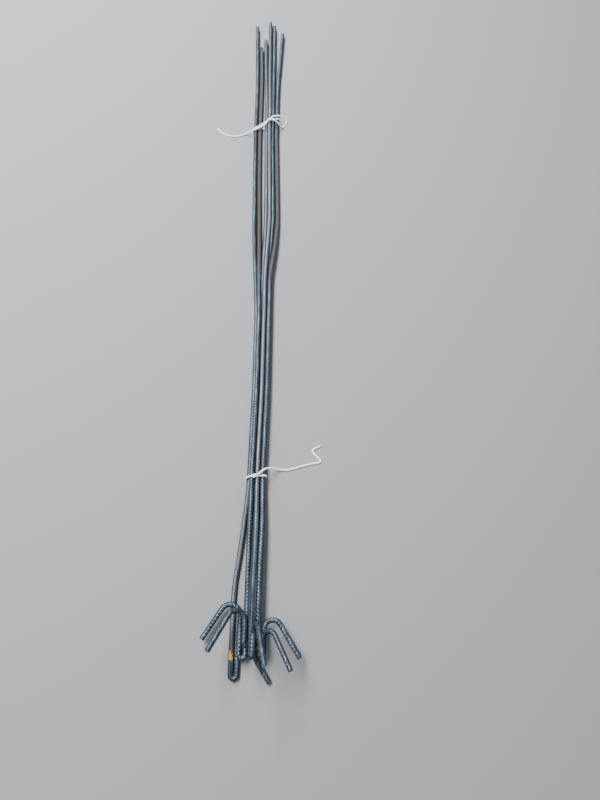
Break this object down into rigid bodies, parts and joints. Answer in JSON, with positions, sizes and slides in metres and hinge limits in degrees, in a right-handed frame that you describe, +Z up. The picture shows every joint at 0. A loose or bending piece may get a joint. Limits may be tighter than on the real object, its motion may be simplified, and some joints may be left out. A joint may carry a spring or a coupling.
{
  "type": "bundle of rebar stakes",
  "caption": "Bundle of ribbed steel ground stakes, each with a tight U bend and a flared open hook, lying flat and held by two string ties with loose ends.",
  "frame": {"origin": "middle of the base of the bundle's bounding box, on the ground, without the strings' loose ends", "axes": "+X across the bundle to the right, +Y along it from the hooks to the cut ends, +Z up"},
  "size_m": [0.2295, 1.4874, 0.1048],
  "materials": {
    "ribbed_bar": "rough",
    "string": "matte"
  },
  "bodies": {
    "root": {"stake_left_lower": "ribbed_bar", "stake_left_upper": "ribbed_bar", "stake_right_lower": "ribbed_bar", "stake_right_upper": "ribbed_bar", "stake_top": "ribbed_bar", "stake_under": "ribbed_bar", "lower_tie": "string", "upper_tie": "string", "lower_tie_end": "string", "upper_tie_end": "string", "upper_tie_loop": "string"}
  },
  "joints": []
}
